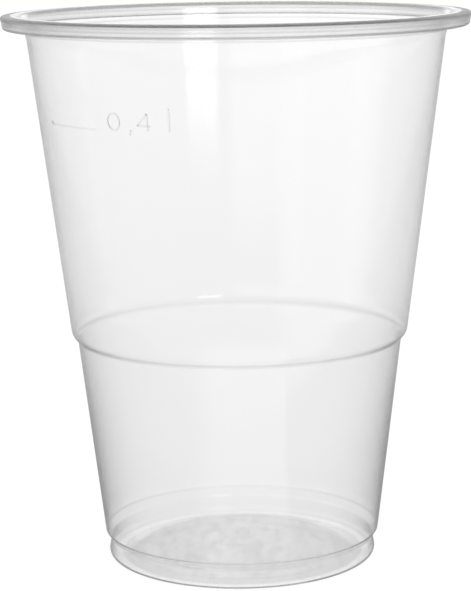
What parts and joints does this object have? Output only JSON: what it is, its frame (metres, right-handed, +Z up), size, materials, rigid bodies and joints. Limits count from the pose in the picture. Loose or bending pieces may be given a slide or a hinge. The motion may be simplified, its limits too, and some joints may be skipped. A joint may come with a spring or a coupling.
{
  "type": "disposable plastic cup",
  "caption": "Clear tapered drinking cup of thin plastic, with a rolled rim and skirt, a step round the wall, a necked foot and a recessed base.",
  "frame": {"origin": "on the cup's axis, in the plane of the standing ring that the cup rests on", "axes": "+Z up along the cup's axis towards the mouth; -Y towards the side that the picture shows, with the fill line to its left"},
  "size_m": [0.1012, 0.1012, 0.1204],
  "materials": {
    "clear_plastic": "clear and glossy, with a slight haze that is stronger in the base"
  },
  "bodies": {
    "root": {"cup": "clear_plastic"}
  },
  "joints": []
}
